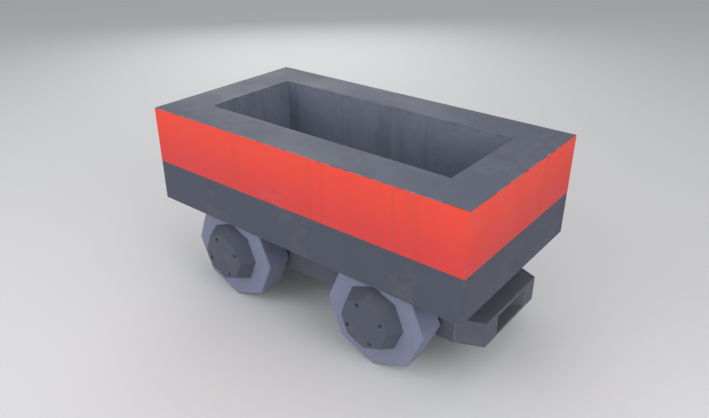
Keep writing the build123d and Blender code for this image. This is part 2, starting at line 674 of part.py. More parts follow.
def underframe_nodes():
    nodes = {"body_bolster_" + name: bolster(x) for name, x in BOLSTERS_X.items()}
    nodes["mount_pads"] = mount_pads()
    nodes["mount_bolts"] = mount_bolts()
    nodes |= both_ways(frame_sill(), "frame_sill_{}", SIDES, Plane.XZ)
    nodes["cross_member_front"] = cross_member(CROSS_SPACING)
    nodes["cross_member_middle"] = cross_member(0)
    nodes["cross_member_rear"] = cross_member(-CROSS_SPACING)
    nodes["headstock_plates"] = headstock_plates()
    nodes |= both_ways(drawhead(), "drawhead_{}", ENDS, Plane.YZ)
    nodes["drawhead_bolts"] = drawhead_bolts()
    nodes |= both_ways(coupling_pin(), "coupling_pin_{}", ENDS, Plane.YZ)
    nodes |= both_ways(axle(), "axle_{}", ENDS, Plane.YZ)
    nodes["axle_seats"] = axle_seats()
    nodes["axle_lock_bolts"] = lock_bolts()
    return nodes


def wheel_nodes():
    nodes = {
        "bearing_cones": every_wheel(bearing_cones()),
        "dust_seals": every_wheel(dust_seal()),
        "axle_washers": every_wheel(axle_washer()),
        "axle_nuts": every_wheel(castle_nut()),
        "split_pins": every_wheel(split_pin()),
    }
    turning = {
        "wheel": wheel(),
        "bearing_cups": bearing_cups(),
        "hub_cap": hub_cap(),
        "hub_cap_screws": cap_screws(),
    }
    for end_name, end in ENDS.items():
        for side_name, side in SIDES.items():
            for name, piece in turning.items():
                nodes[f"{name}_{end_name}_{side_name}"] = at_wheel(end, side) * piece
    return nodes


os.makedirs("parts", exist_ok=True)
for node, shape in (tub_nodes() | underframe_nodes() | wheel_nodes()).items():
    export_step(shape, f"parts/{node}.step")
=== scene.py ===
# %% [markdown]
# # A mine cart in painted plate and cast iron
#
# The cart is a steel tub on a low underframe: a wide grey rim, red upper panels, dark sills, an open
# hopper, and four eight-sided wheels with dark hub caps. Its measured model is loaded first and keeps its
# shapes. The pieces made here take their places from that model's boxes, so nothing has to be fitted by
# eye. Everything is in metres, +X to the cart's front, +Y to its left and +Z up.

# %% Load the measured model
import json
from math import atan2, cos, hypot, pi, radians, sin, tan

import bmesh
import bpy
from mathutils import Matrix, Vector, noise


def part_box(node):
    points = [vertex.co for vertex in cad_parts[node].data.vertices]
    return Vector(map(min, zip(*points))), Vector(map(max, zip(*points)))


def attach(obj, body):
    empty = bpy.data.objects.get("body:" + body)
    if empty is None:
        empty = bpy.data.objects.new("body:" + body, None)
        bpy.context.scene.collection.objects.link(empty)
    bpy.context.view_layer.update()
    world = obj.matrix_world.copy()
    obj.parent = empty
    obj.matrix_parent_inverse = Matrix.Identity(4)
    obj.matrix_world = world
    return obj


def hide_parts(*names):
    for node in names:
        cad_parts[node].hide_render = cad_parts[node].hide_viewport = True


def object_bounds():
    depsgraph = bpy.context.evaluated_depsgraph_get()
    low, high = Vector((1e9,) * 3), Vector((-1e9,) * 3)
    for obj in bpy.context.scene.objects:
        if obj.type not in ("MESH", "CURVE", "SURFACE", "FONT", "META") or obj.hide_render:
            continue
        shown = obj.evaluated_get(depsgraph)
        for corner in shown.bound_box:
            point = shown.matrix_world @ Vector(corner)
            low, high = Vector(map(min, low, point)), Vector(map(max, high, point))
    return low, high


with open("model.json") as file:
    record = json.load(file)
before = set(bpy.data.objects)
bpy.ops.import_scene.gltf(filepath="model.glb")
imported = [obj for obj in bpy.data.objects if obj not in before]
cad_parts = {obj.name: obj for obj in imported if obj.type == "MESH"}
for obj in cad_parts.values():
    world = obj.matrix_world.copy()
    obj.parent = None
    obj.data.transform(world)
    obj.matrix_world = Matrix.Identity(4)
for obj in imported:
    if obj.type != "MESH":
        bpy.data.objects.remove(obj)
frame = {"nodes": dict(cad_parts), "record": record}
nodes = frame["nodes"]
cad_low, cad_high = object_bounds()
print(len(nodes), "measured nodes,", tuple(round(v, 4) for v in cad_high - cad_low), "m overall")

# %% [markdown]
# ## The camera and the studio
#
# The camera looks down over the cart's right front corner with a slightly wide lens. It could be aimed with
# a tracking constraint, but a plain rotation made from a heading and a dip says exactly where it points.
# The light is soft and comes mostly from above and from the left of the view, with a pale floor that
# bounces it back under the tub, so the dark underframe keeps its shapes.

# %% Camera
EYE = Vector((1.706, -2.147, 1.868))
HEADING = radians(38.47)  # from +Y towards -X
DIP = radians(27.56)
LENS_MM = 33.715


def add_camera():
    data = bpy.data.cameras.new("camera")
    data.sensor_width = 36
    data.lens = LENS_MM
    camera = bpy.data.objects.new("camera", data)
    camera.location = EYE
    camera.rotation_euler = (pi / 2 - DIP, 0, HEADING)
    bpy.context.scene.collection.objects.link(camera)
    bpy.context.scene.camera = camera
    return camera


print("camera at", tuple(add_camera().location))

# %% Lights, sky and floor
FLOOR_SIZE = 60


def add_area_light(name, place, aim, size, power):
    data = bpy.data.lights.new(name, "AREA")
    data.shape = "SQUARE"
    data.size = size
    data.energy = power
    light = bpy.data.objects.new(name, data)
    light.location = place
    light.rotation_euler = (Vector(aim) - Vector(place)).to_track_quat("-Z", "Y").to_euler()
    bpy.context.scene.collection.objects.link(light)


def add_sky(level, overhead):
    """A white sky that is dimmer overhead, so that upright faces get nearly as much light as flat ones."""
    world = bpy.data.worlds.new("studio")
    bpy.context.scene.world = world
    world.use_nodes = True
    tree = world.node_tree
    height = tree.nodes.new("ShaderNodeSeparateXYZ")
    light_ramp = tree.nodes.new("ShaderNodeMapRange")
    tree.links.new(tree.nodes.new("ShaderNodeTexCoord").outputs["Generated"], height.inputs["Vector"])
    tree.links.new(height.outputs["Z"], light_ramp.inputs["Value"])
    light_ramp.inputs["To Min"].default_value = level
    light_ramp.inputs["To Max"].default_value = overhead
    background = tree.nodes["Background"]
    background.inputs["Color"].default_value = (0.96, 0.975, 1.0, 1)
    tree.links.new(light_ramp.outputs["Result"], background.inputs["Strength"])


def add_floor():
    bm = bmesh.new()
    bmesh.ops.create_grid(bm, x_segments=1, y_segments=1, size=FLOOR_SIZE / 2)
    mesh = bpy.data.meshes.new("floor")
    bm.to_mesh(mesh)
    bm.free()
    floor = bpy.data.objects.new("floor", mesh)
    material = bpy.data.materials.new("pale_floor")
    material.use_nodes = True
    shader = material.node_tree.nodes["Principled BSDF"]
    shader.inputs["Base Color"].default_value = (0.74, 0.74, 0.75, 1)
    shader.inputs["Roughness"].default_value = 0.85
    mesh.materials.append(material)
    bpy.context.scene.collection.objects.link(floor)


bpy.context.scene.view_settings.view_transform = "Standard"
add_sky(0.66, 0.34)
add_area_light("key", (-2.0, -4.0, 3.2), (0, 0, 0.4), 4.0, 88)
add_area_light("top", (0.5, 0.3, 5.0), (0, 0, 0.6), 4.5, 34)
add_area_light("low_fill", (0.9, -4.2, 0.8), (0, 0, 0.3), 2.6, 34)
add_area_light("end_fill", (3.9, -1.0, 2.5), (0.8, 0, 0.25), 2.8, 60)
add_area_light("back", (-3.5, 3.5, 2.8), (0, 0, 0.4), 3.5, 60)
add_floor()
print("studio:", [light.name for light in bpy.data.lights])

# %% [markdown]
# ## Shared surface effects
#
# Paint on a mine cart is never one flat colour. It varies slowly over a plate, it is rubbed away on edges
# and corners, it is scratched where rock slides over it, and dust settles on it. Each effect is a node
# group with named inputs, made once and placed in every finish that needs it. The groups read object
# coordinates, because every piece keeps its place in its mesh, so a pattern runs unbroken from one plate to
# the next.

# %% Helpers for node trees
def add_node(tree, kind, values=None, **settings):
    """Adds a node, sets its properties, and gives each named socket a value or a link."""
    node = tree.nodes.new("ShaderNode" + kind)
    for key, setting in settings.items():
        setattr(node, key, setting)
    for key, value in (values or {}).items():
        if isinstance(value, bpy.types.NodeSocket):
            tree.links.new(value, node.inputs[key])
        else:
            node.inputs[key].default_value = value
    return node


def add_math(tree, operation, first, second=0.0, clamp=False):
    node = add_node(tree, "Math", {0: first, 1: second}, operation=operation, use_clamp=clamp)
    return node.outputs[0]


def add_mix(tree, factor, first, second, blend="MIX"):
    """Mixes two colours."""
    node = add_node(tree, "Mix", {"Factor": factor}, data_type="RGBA", blend_type=blend)
    for socket, value in ((node.inputs[6], first), (node.inputs[7], second)):
        if isinstance(value, bpy.types.NodeSocket):
            tree.links.new(value, socket)
        else:
            socket.default_value = value
    return node.outputs[2]


def add_range(tree, value, low, high, to_low=0.0, to_high=1.0):
    """Turns one range of values smoothly into another."""
    values = {"Value": value, "From Min": low, "From Max": high, "To Min": to_low, "To Max": to_high}
    return add_node(tree, "MapRange", values, interpolation_type="SMOOTHSTEP").outputs["Result"]


def add_noise(tree, vector, scale, detail=3.0, roughness=0.5, stretch=(1, 1, 1)):
    mapped = add_node(tree, "Mapping", {"Vector": vector, "Scale": stretch}).outputs["Vector"]
    values = {"Vector": mapped, "Scale": scale, "Detail": detail, "Roughness": roughness}
    return add_node(tree, "TexNoise", values).outputs["Fac"]


KINDS = {"value": "NodeSocketFloat", "vector": "NodeSocketVector"}


def start_group(name, takes, gives):
    """A shader node group whose sockets are given as (label, kind, default) and (label, kind)."""
    group = bpy.data.node_groups.new(name, "ShaderNodeTree")
    for label, kind, default in takes:
        socket = group.interface.new_socket(label, in_out="INPUT", socket_type=KINDS[kind])
        if default is not None:
            socket.default_value = default
    for label, kind in gives:
        group.interface.new_socket(label, in_out="OUTPUT", socket_type=KINDS[kind])
    return group, group.nodes.new("NodeGroupInput").outputs, group.nodes.new("NodeGroupOutput").inputs


def use_group(tree, name, **values):
    """Places a node group and gives its named sockets values or links."""
    return add_node(tree, "Group", values, node_tree=bpy.data.node_groups[name]).outputs


print("helpers ready")

# %% Edge wear: where a softened normal leaves the true one, noise decides how far the paint has gone
def build_edge_wear():
    takes = [
        ("Vector", "vector", None), ("Reach", "value", 0.006), ("Amount", "value", 0.5),
        ("Chips", "value", 60.0),
    ]
    group, given, out = start_group("edge_wear", takes, [("Mask", "value")])
    soft = add_node(group, "Bevel", {"Radius": given["Reach"]}, samples=6).outputs["Normal"]
    true = add_node(group, "NewGeometry").outputs["Normal"]
    dot = add_node(group, "VectorMath", {0: soft, 1: true}, operation="DOT_PRODUCT").outputs["Value"]
    edge = add_range(group, dot, 0.995, 0.80)
    chips = add_noise(group, given["Vector"], given["Chips"], 6, 0.7)
    patches = add_noise(group, given["Vector"], 7.0, 2, 0.5)
    limit = add_math(group, "MULTIPLY", chips, add_range(group, patches, 0.30, 0.75, 1.25, 0.75))
    shown = add_math(group, "ADD", edge, given["Amount"])
    mask = add_range(group, add_math(group, "SUBTRACT", shown, limit), 0.62, 0.74)
    group.links.new(add_math(group, "MULTIPLY", mask, add_range(group, edge, 0.02, 0.2)), out["Mask"])


build_edge_wear()
print("edge_wear group:", len(bpy.data.node_groups["edge_wear"].nodes), "nodes")

# %% Mottle: slow and quick changes of tone, as a factor round one
def build_mottle():
    takes = [("Vector", "vector", None), ("Scale", "value", 2.2), ("Depth", "value", 0.08)]
    group, given, out = start_group("mottle", takes, [("Tone", "value")])
    slow = add_noise(group, given["Vector"], given["Scale"], 2, 0.5)
    quick = add_noise(group, given["Vector"], add_math(group, "MULTIPLY", given["Scale"], 11.0), 4, 0.6)
    share = add_math(group, "MULTIPLY", quick, 0.3)
    both = add_math(group, "ADD", add_math(group, "MULTIPLY", slow, 0.7), share)
    centred = add_math(group, "SUBTRACT", both, 0.5)
    scaled = add_math(group, "MULTIPLY", add_math(group, "MULTIPLY", centred, 2.0), given["Depth"])
    group.links.new(add_math(group, "ADD", scaled, 1.0), out["Tone"])


build_mottle()
print("mottle group ready")

# %% Scratches: noise squeezed into thin lines, in three directions that cross
def build_scratches():
    takes = [("Vector", "vector", None), ("Scale", "value", 14.0), ("Amount", "value", 0.3)]
    group, given, out = start_group("scratches", takes, [("Mask", "value")])
    masks = []
    for turn, stretch in ((0.35, (1.2, 16, 16)), (-0.9, (20, 1.5, 14)), (1.9, (14, 14, 1.3))):
        turned = add_node(group, "Mapping", {"Vector": given["Vector"], "Rotation": (0.4 * turn, 0.3, turn)})
        lines = add_noise(group, turned.outputs["Vector"], given["Scale"], 2, 0.55, stretch)
        line = add_math(group, "ABSOLUTE", add_math(group, "SUBTRACT", lines, 0.5))
        masks.append(add_range(group, line, 0.010, 0.0))
    most = add_math(group, "MAXIMUM", add_math(group, "MAXIMUM", masks[0], masks[1]), masks[2])
    places = add_noise(group, given["Vector"], 3.1, 3, 0.6)
    low = add_math(group, "SUBTRACT", 0.72, given["Amount"])
    where = add_range(group, places, low, add_math(group, "ADD", low, 0.12))
    group.links.new(add_math(group, "MULTIPLY", most, where), out["Mask"])


build_scratches()
print("scratches group ready")

# %% Dust: it lies on what faces up and is thrown up from the track at the lowest parts
def build_dust():
    takes = [("Vector", "vector", None), ("Amount", "value", 0.3), ("Top Height", "value", 0.45)]
    group, given, out = start_group("dust", takes, [("Mask", "value")])
    normal = add_node(group, "NewGeometry").outputs["Normal"]
    up = add_node(group, "SeparateXYZ", {"Vector": normal}).outputs["Z"]
    height = add_node(group, "SeparateXYZ", {"Vector": given["Vector"]}).outputs["Z"]
    lying = add_range(group, up, 0.3, 0.95, 0.0, 0.75)
    thrown = add_range(group, height, given["Top Height"], 0.0, 0.0, 0.8)
    cloud = add_range(group, add_noise(group, given["Vector"], 5.5, 5, 0.62), 0.35, 0.72, 0.15, 1.0)
    grains = add_range(group, add_noise(group, given["Vector"], 240.0, 2, 0.5), 0.3, 0.7, 0.6, 1.0)
    speckle = add_math(group, "MULTIPLY", cloud, grains)
    layer = add_math(group, "MULTIPLY", add_math(group, "ADD", lying, thrown), speckle)
    group.links.new(add_math(group, "MULTIPLY", layer, given["Amount"], clamp=True), out["Mask"])


build_dust()
print("dust group ready")

# %% Run marks: rain washes dirt down upright plates in narrow uneven streaks
def build_run_marks():
    group, given, out = start_group("run_marks", [("Vector", "vector", None)], [("Mask", "value")])
    normal = add_node(group, "NewGeometry").outputs["Normal"]
    up = add_node(group, "SeparateXYZ", {"Vector": normal}).outputs["Z"]
    upright = add_range(group, add_math(group, "ABSOLUTE", up), 0.5, 0.2)
    narrow = add_noise(group, given["Vector"], 26.0, 3, 0.6, (1, 1, 0.06))
    broad = add_noise(group, given["Vector"], 4.5, 2, 0.5, (1, 1, 0.25))
    lines = add_range(group, add_math(group, "MULTIPLY", narrow, broad), 0.24, 0.42)
    group.links.new(add_math(group, "MULTIPLY", lines, upright), out["Mask"])


build_run_marks()
print("run_marks group ready")

# %% Relief: the orange peel of thick paint, and the coarse skin of a sand casting
def build_relief():
    takes = [
        ("Vector", "vector", None), ("Peel", "value", 0.3), ("Cast", "value", 0.0), ("Sag", "value", 0.3),
    ]
    group, given, out = start_group("relief", takes, [("Height", "value")])
    peel = add_math(group, "MULTIPLY", add_noise(group, given["Vector"], 330.0, 2, 0.5), given["Peel"])
    skin = add_noise(group, given["Vector"], 170.0, 5, 0.7)
    lumps = add_noise(group, given["Vector"], 38.0, 3, 0.5)
    cast = add_math(group, "MULTIPLY", add_math(group, "ADD", skin, lumps), given["Cast"])
    sag = add_math(group, "MULTIPLY", add_noise(group, given["Vector"], 3.2, 1, 0.4), given["Sag"])
    group.links.new(add_math(group, "ADD", add_math(group, "ADD", peel, cast), sag), out["Height"])


build_relief()
print("groups:", [group.name for group in bpy.data.node_groups])

# %% [markdown]
# ## The finishes
#
# All painted and cast surfaces share one recipe: a paint colour that varies in tone, bare or rusty steel
# that shows where the edge wear and the scratches say so, and dust over the top. Only the amounts differ,
# so one function builds them all. Rubber and bare steel are simpler and get functions of their own.

# %% The recipe for painted plate and painted castings
STEEL = (0.30, 0.295, 0.30, 1)
RUST = (0.115, 0.052, 0.030, 1)
DUST = (0.30, 0.27, 0.245, 1)
GRIME = (0.055, 0.045, 0.042, 1)
BUMP = 0.5


def start_material(name):
    material = bpy.data.materials.new(name)
    material.use_nodes = True
    tree = material.node_tree
    coords = add_node(tree, "TexCoord").outputs["Object"]
    return material, tree, tree.nodes["Principled BSDF"], coords


def scaled_colour(tree, colour, tone):
    grey = add_node(tree, "CombineColor", {"Red": tone, "Green": tone, "Blue": tone}).outputs["Color"]
    return add_mix(tree, 1.0, colour, grey, "MULTIPLY")


def painted(
    name, paint, wear=0.3, scratch=0.2, dust=0.2, gloss=0.45, cast=0.0, light_ramp=None, tone=0.07, reach=0.008,
    streaks=0.0,
):
    """Paint over metal. fade is (low height, high height, colour at the top): painted light, the colour
    turning lighter towards the top of a plate in place of the light that falls more on its upper part.
    """
    material, tree, shader, coords = start_material(name)
    colour = (*paint, 1)
    # Painted light: a ramp to a lighter colour at the top of the plate stands in for how the light falls on
    # it.
    if light_ramp:
        low, high, top = light_ramp
        height = add_node(tree, "SeparateXYZ", {"Vector": coords}).outputs["Z"]
        colour = add_mix(tree, add_range(tree, height, low, high), colour, (*top, 1))
    mottle = use_group(tree, "mottle", Vector=coords, Depth=tone)["Tone"]
    colour = scaled_colour(tree, colour, mottle)
    if streaks:
        runs = use_group(tree, "run_marks", Vector=coords)["Mask"]
        colour = add_mix(tree, add_math(tree, "MULTIPLY", runs, streaks), colour, GRIME)
    worn = use_group(tree, "edge_wear", Vector=coords, Amount=wear, Reach=reach)["Mask"]
    lines = use_group(tree, "scratches", Vector=coords, Amount=scratch)["Mask"]
    dusty = use_group(tree, "dust", Vector=coords, Amount=dust)["Mask"]
    rubbed = add_math(tree, "MAXIMUM", worn, add_math(tree, "MULTIPLY", lines, 0.55))
    metal = add_mix(tree, add_range(tree, add_noise(tree, coords, 21.0, 4), 0.42, 0.62), STEEL, RUST)
    colour = add_mix(tree, rubbed, colour, metal)
    colour = add_mix(tree, dusty, colour, DUST)
    rough = add_range(tree, add_noise(tree, coords, 6.0, 4, 0.6), 0.3, 0.7, gloss - 0.06, gloss + 0.08)
    rough = add_math(tree, "ADD", rough, add_math(tree, "MULTIPLY", dusty, 0.4), clamp=True)
    height = use_group(tree, "relief", Vector=coords, Cast=cast)["Height"]
    height = add_math(tree, "SUBTRACT", height, add_math(tree, "MULTIPLY", rubbed, 0.35))
    normal = add_node(tree, "Bump", {"Strength": BUMP, "Distance": 0.0009, "Height": height}).outputs[0]
    tree.links.new(colour, shader.inputs["Base Color"])
    tree.links.new(rough, shader.inputs["Roughness"])
    tree.links.new(add_math(tree, "MULTIPLY", worn, 0.55), shader.inputs["Metallic"])
    tree.links.new(normal, shader.inputs["Normal"])
    shader.inputs["Specular IOR Level"].default_value = 0.18
    return material


def worked_steel(name, colour, roughness, grain=(1, 1, 1), rust=0.25):
    """Bare or blacked steel: machined along one axis, with a bloom of rust."""
    material, tree, shader, coords = start_material(name)
    lines = add_noise(tree, coords, 190.0, 3, 0.6, grain)
    spots = add_range(tree, add_noise(tree, coords, 33.0, 5, 0.65), 0.62 - rust * 0.3, 0.75)
    tone = add_range(tree, lines, 0.2, 0.8, 0.82, 1.12)
    base = scaled_colour(tree, (*colour, 1), tone)
    base = add_mix(tree, add_math(tree, "MULTIPLY", spots, rust), base, RUST)
    tree.links.new(base, shader.inputs["Base Color"])
    rough = add_range(tree, lines, 0.2, 0.8, roughness - 0.08, roughness + 0.08)
    rough = add_math(tree, "ADD", rough, add_math(tree, "MULTIPLY", spots, 0.35 * rust), clamp=True)
    tree.links.new(rough, shader.inputs["Roughness"])
    tree.links.new(add_range(tree, spots, 0.0, 1.0, 0.9, 0.9 - 0.6 * rust), shader.inputs["Metallic"])
    bump = add_node(tree, "Bump", {"Strength": 0.35, "Distance": 0.0003, "Height": lines}).outputs["Normal"]
    tree.links.new(bump, shader.inputs["Normal"])
    return material


def black_rubber(name):
    material, tree, shader, coords = start_material(name)
    tone = add_range(tree, add_noise(tree, coords, 90.0, 5, 0.7), 0.25, 0.8, 0.6, 1.7)
    bloom = use_group(tree, "dust", Vector=coords, Amount=0.35)["Mask"]
    base = scaled_colour(tree, (0.018, 0.018, 0.019, 1), tone)
    tree.links.new(add_mix(tree, bloom, base, DUST), shader.inputs["Base Color"])
    height = add_noise(tree, coords, 420.0, 4, 0.6)
    bump = add_node(tree, "Bump", {"Strength": 0.4, "Distance": 0.0004, "Height": height}).outputs["Normal"]
    tree.links.new(add_range(tree, height, 0.3, 0.7, 0.62, 0.8), shader.inputs["Roughness"])
    tree.links.new(bump, shader.inputs["Normal"])
    return material


# %% One material for each finish
band_low, band_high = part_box("side_panel_left")
FINISHES = {
    "rim_grey": painted("rim_grey", (0.100, 0.112, 0.157), wear=0.30, scratch=0.26, dust=0.06, gloss=0.50),
    # The red is painted lighter towards the top of its band: painted light, not a change in the paint
    # itself.
    "red_paint": painted(
        "red_paint", (0.66, 0.058, 0.054), wear=0.13, scratch=0.14, dust=0.07, gloss=0.50,
        light_ramp=(band_low.z, band_high.z, (0.82, 0.072, 0.046)), tone=0.05, streaks=0.07,
    ),
    "dark_sill": painted(
        "dark_sill", (0.076, 0.083, 0.113), wear=0.14, scratch=0.18, dust=0.14, gloss=0.52, streaks=0.07
    ),
    "hopper_steel": painted(
        "hopper_steel", (0.185, 0.203, 0.268), wear=0.30, scratch=0.44, dust=0.20, gloss=0.54, streaks=0.22
    ),
    "frame_paint": painted(
        "frame_paint", (0.088, 0.096, 0.128), wear=0.26, scratch=0.12, dust=0.30, gloss=0.56
    ),
    "cast_iron": painted(
        "cast_iron", (0.092, 0.101, 0.134), wear=0.36, scratch=0.18, dust=0.20, gloss=0.56, cast=0.60,
        reach=0.009,
    ),
    "wheel_steel": painted(
        "wheel_steel", (0.198, 0.215, 0.318), wear=0.82, scratch=0.26, dust=0.24, gloss=0.52, cast=0.55,
        reach=0.012, tone=0.09,
    ),
    "hub_paint": painted(
        "hub_paint", (0.080, 0.088, 0.120), wear=0.64, scratch=0.12, dust=0.16, gloss=0.50, cast=0.45,
        reach=0.006,
    ),
    "bare_steel": worked_steel("bare_steel", (0.36, 0.36, 0.37), 0.38, (1, 6, 1)),
    "rubber": black_rubber("rubber"),
}
BOLT_BLACK = worked_steel("bolt_black", (0.13, 0.13, 0.14), 0.42, rust=0.45)
# The screws are small, so their paint wears in a narrower band than a casting's
SCREW_PAINT = painted("screw_paint", (0.080, 0.088, 0.120), wear=0.30, scratch=0.0, dust=0.12, reach=0.0015)
WELD = painted("weld_paint", (0.080, 0.087, 0.115), wear=0.35, scratch=0.0, dust=0.15, gloss=0.5, cast=0.5)
print("finishes:", sorted(FINISHES))

# %% Give every measured node the finish of its slot, before any piece replaces it
slot_of = {part["node"]: part["material_slot"] for part in frame["record"]["subparts"]}
for name, measured in nodes.items():
    measured.data.materials.clear()
    measured.data.materials.append(FINISHES[slot_of[name]])
print("finished", len(nodes), "nodes")

# %% [markdown]
# ## From a bmesh to a piece
#
# Every piece ends the same way: its doubles are merged, its faces turned outwards, and it is hung on the
# body that carries it. Before that, most have their edges rounded. Real plate has an edge radius of a
# millimetre or two, and that thin line of light along an edge is what tells the eye that a thing is solid.
# Weighted normals keep the big faces flat beside those small rounded ones.

# %% Helpers for pieces
SHARP = radians(28)


def round_edges(bm, radius, sharper_than=SHARP):
    """Rounds the edges where two faces meet at more than an angle."""
    chosen = [edge for edge in bm.edges if edge.is_manifold and edge.calc_face_angle(0) > sharper_than]
    bmesh.ops.bevel(
        bm, geom=chosen, offset=radius, offset_type="OFFSET", segments=3, profile=0.5,
        affect="EDGES", material=-1, clamp_overlap=True, miter_outer="ARC",
    )


def make_piece(name, bm, material, body="cart", stands_for=()):
    """Turns a bmesh into a finished piece on a body, standing for the measured nodes it replaces."""
    bmesh.ops.remove_doubles(bm, verts=bm.verts, dist=1e-6)
    bmesh.ops.recalc_face_normals(bm, faces=bm.faces)
    mesh = bpy.data.meshes.new(name)
    bm.to_mesh(mesh)
    bm.free()
    mesh.shade_smooth()
    mesh.set_sharp_from_angle(angle=radians(38))
    mesh.materials.append(material)
    piece = bpy.data.objects.new(name, mesh)
    bpy.context.scene.collection.objects.link(piece)
    weighted = piece.modifiers.new("flat_faces", "WEIGHTED_NORMAL")
    weighted.keep_sharp = True
    weighted.weight = 80
    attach(piece, body)
    if stands_for:
        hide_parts(*stands_for)
    return piece


def in_place(bm, place):
    bmesh.ops.transform(bm, matrix=place, verts=bm.verts)
    return bm


def join(target, source):
    """Adds one bmesh's shapes to another."""
    mesh = bpy.data.meshes.new("joined")
    source.to_mesh(mesh)
    source.free()
    target.from_mesh(mesh)
    bpy.data.meshes.remove(mesh)
    return target


def plate(low, high, radius=0.0):
    """A box between two corners with rounded edges."""
    bm = bmesh.new()
    bmesh.ops.create_cube(bm, size=1)
    size = Vector(high) - Vector(low)
    bmesh.ops.scale(bm, vec=size, verts=bm.verts)
    bmesh.ops.translate(bm, vec=(Vector(low) + Vector(high)) / 2, verts=bm.verts)
    if radius:
        round_edges(bm, radius)
    return bm


print("piece helpers ready")

# %% [markdown]
# ## The tub's outer sides
#
# The red panels and the dark sills run round the same rectangle and are mitred at its corners. One could
# model each plate by hand, but they differ only in cross-section. So a helper takes a section, stretches it
# along one side, and shears its two ends to 45 degrees. Four turns of it make a ring.

# %% A mitred bar with any cross-section
HALF = Vector((cad_high.x, band_high.y, 0))  # half the tub's length and width
TURNS = {"left": 0.0, "rear": pi / 2, "right": pi, "front": -pi / 2}


def mitred_bar(section, side, radius):
    """section lists (distance in from the outer face, height). The bar lies on the named side of the tub."""
    along_x = side in ("left", "right")
    reach, offset = (HALF.x, HALF.y) if along_x else (HALF.y, HALF.x)
    bm = bmesh.new()
    corners = [bm.verts.new((0, offset - depth, height)) for depth, height in section]
    end = bm.faces.new(corners)
    pulled = bmesh.ops.extrude_face_region(bm, geom=[end])["geom"]
    far = [item for item in pulled if isinstance(item, bmesh.types.BMVert)]
    near = [vert for vert in bm.verts if vert not in far]
    for verts, sign in ((near, -1), (far, 1)):
        slant = Matrix.Identity(4)
        slant[0][1] = sign
        slant[0][3] = sign * (reach - offset)
        bmesh.ops.transform(bm, matrix=slant, verts=verts)
    bmesh.ops.recalc_face_normals(bm, faces=bm.faces)
    round_edges(bm, radius)
    bmesh.ops.rotate(bm, cent=(0, 0, 0), matrix=Matrix.Rotation(TURNS[side], 3, "Z"), verts=bm.verts)
    return bm


print("tub half size", tuple(round(v, 4) for v in HALF[:2]))

# %% Red panels: 8 mm plate, its inner top edge cut away at 45 degrees under the rim
PANEL = 0.008
EDGE = 0.0012


def panel_name(side):
    return ("side_panel_" if side in ("left", "right") else "end_panel_") + side


for side in TURNS:
    section = [(0, band_low.z), (0, band_high.z), (PANEL, band_high.z - PANEL), (PANEL, band_low.z)]
    bm = mitred_bar(section, side, EDGE)
    make_piece("red_" + panel_name(side), bm, FINISHES["red_paint"], "cart", [panel_name(side)])
print("red panels from", round(band_low.z, 3), "to", round(band_high.z, 3))

# %% Dark sills: a web outside, a short foot below and a wide ledge above, bent from one plate
sill_low, sill_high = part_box("side_skirt_left")
FOOT = 0.024
LEDGE = 0.060


def sill_name(side):
    return ("side_skirt_" if side in ("left", "right") else "end_skirt_") + side


for side in TURNS:
    low, high = sill_low.z, sill_high.z
    section = [
        (0, low), (0, high), (LEDGE, high), (LEDGE, high - PANEL),
        (PANEL, high - PANEL), (PANEL, low + PANEL), (FOOT, low + PANEL), (FOOT, low),
    ]
    bm = mitred_bar(section, side, 0.002)
    make_piece("dark_" + sill_name(side), bm, FINISHES["dark_sill"], "cart", [sill_name(side)])
print("dark sills from", round(sill_low.z, 3), "to", round(sill_high.z, 3))

# %% [markdown]
# ## The rim
#
# The rim is one wide flat ring. An inset of a single face gives its width exactly and keeps the corners
# square, and an extrusion gives the plate its thickness. The outer edge slopes under at 45 degrees to meet
# the panels, so the lower outer corners are pulled in by the thickness of the plate.

# %% Rim ring
rim_low, rim_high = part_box("top_rim")
open_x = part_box("end_liner_front")[0].x
open_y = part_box("side_liner_left")[0].y
rim_plate = rim_high.z - rim_low.z


def rim_ring():
    bm = bmesh.new()
    bmesh.ops.create_grid(bm, x_segments=1, y_segments=1, size=0.5)
    bmesh.ops.scale(bm, vec=(2 * HALF.x, 2 * HALF.y, 1), verts=bm.verts)
    bmesh.ops.translate(bm, vec=(0, 0, rim_low.z), verts=bm.verts)
    middle = bm.faces[:]
    bmesh.ops.inset_region(
        bm, faces=middle, thickness=HALF.x - open_x, use_boundary=True, use_even_offset=True
    )
    bmesh.ops.delete(bm, geom=middle, context="FACES_ONLY")
    pulled = bmesh.ops.extrude_face_region(bm, geom=bm.faces[:], use_keep_orig=True)["geom"]
    upper = [item for item in pulled if isinstance(item, bmesh.types.BMVert)]
    bmesh.ops.translate(bm, vec=(0, 0, rim_plate), verts=upper)
    for vert in bm.verts:
        if vert not in upper and abs(vert.co.x) > open_x + rim_plate:
            vert.co.x -= rim_plate * (1 if vert.co.x > 0 else -1)
            vert.co.y -= rim_plate * (1 if vert.co.y > 0 else -1)
    bmesh.ops.recalc_face_normals(bm, faces=bm.faces)
    round_edges(bm, EDGE)
    return bm


rim = make_piece("grey_rim", rim_ring(), FINISHES["rim_grey"], "cart", ["top_rim"])
rim.data.materials.append(FINISHES["hopper_steel"])
for face in rim.data.polygons:
    inside = abs(face.center.x) < open_x + EDGE / 2 and abs(face.center.y) < open_y + EDGE / 2
    if inside and abs(face.normal.z) < 0.9:
        face.material_index = 1  # rock has scoured the paint off the inner edge
print("rim", len(rim.data.polygons), "faces")

# %% [markdown]
# ## The hopper
#
# Five flat plates line the hopper. They are welded to each other from the inside, so what catches the light
# in the corners is a weld bead: a rounded fillet with the ripples that the welder's hand leaves. A bead is
# a thin closed cylinder cut into many rings, and each ring is swollen or shrunk a little to make a ripple.

